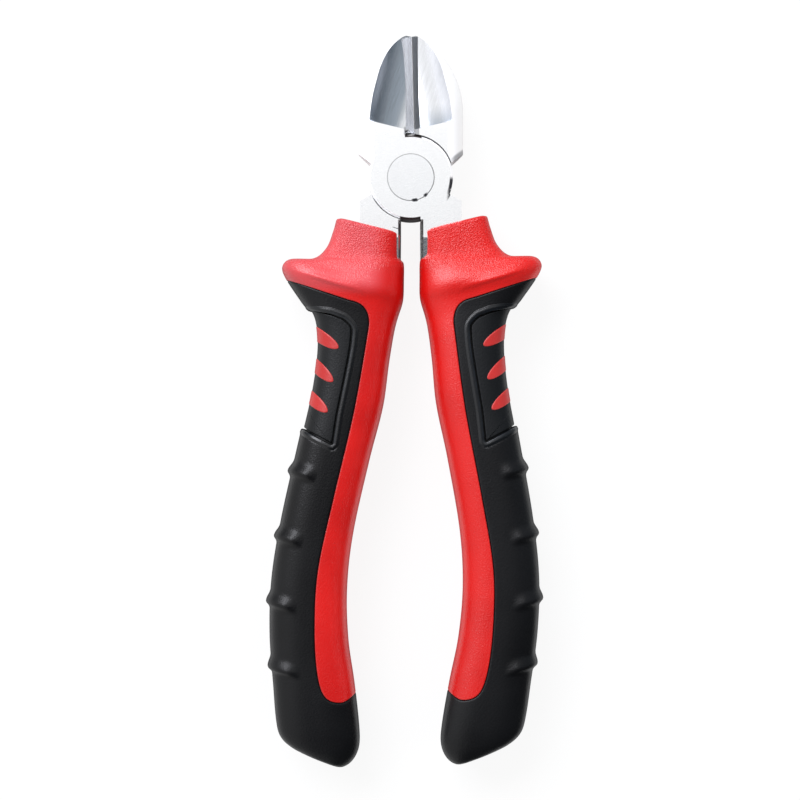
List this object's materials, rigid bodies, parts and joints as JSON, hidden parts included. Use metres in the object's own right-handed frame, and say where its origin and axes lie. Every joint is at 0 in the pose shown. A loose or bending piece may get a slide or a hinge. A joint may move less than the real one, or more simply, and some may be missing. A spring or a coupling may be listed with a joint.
{
  "type": "diagonal cutting pliers",
  "caption": "Diagonal cutting pliers with a riveted lap joint, hollow-ground jaws, thumb guards and two-colour moulded grips.",
  "frame": {"origin": "on the pivot's axis, at the ground back face of the riveted joint", "axes": "+Y from the pivot to the nose of the jaws, +Z through the joint from its back face to its front face, +X to the right handle's side; the tool lies flat and closed"},
  "size_m": [0.0605, 0.1598, 0.0174],
  "materials": {
    "lever_steel": "polished faces, darker ground hollows, raw forged side walls",
    "rivet_steel": "ground flush with the joint",
    "red_grip": "fine spark texture, soft sheen",
    "black_grip": "matt soft rubber",
    "black_panel": "matt soft rubber",
    "red_inlay": "smooth, soft sheen"
  },
  "bodies": {
    "rear_half": {"rear_lever": "lever_steel", "pivot_rivet": "rivet_steel", "left_sleeve": "red_grip", "left_overmould": "black_grip", "left_finger_panel": "black_panel", "left_inlay_top": "red_inlay", "left_inlay_middle": "red_inlay", "left_inlay_bottom": "red_inlay"},
    "front_half": {"front_lever": "lever_steel", "right_sleeve": "red_grip", "right_overmould": "black_grip", "right_finger_panel": "black_panel", "right_inlay_top": "red_inlay", "right_inlay_middle": "red_inlay", "right_inlay_bottom": "red_inlay"}
  },
  "joints": [
    {"name": "pivot", "type": "hinge", "parent": "rear_half", "child": "front_half", "pos_m": [0, 0, 0.005], "axis": [0, 0, 1], "range_deg": [0, 42]}
  ]
}
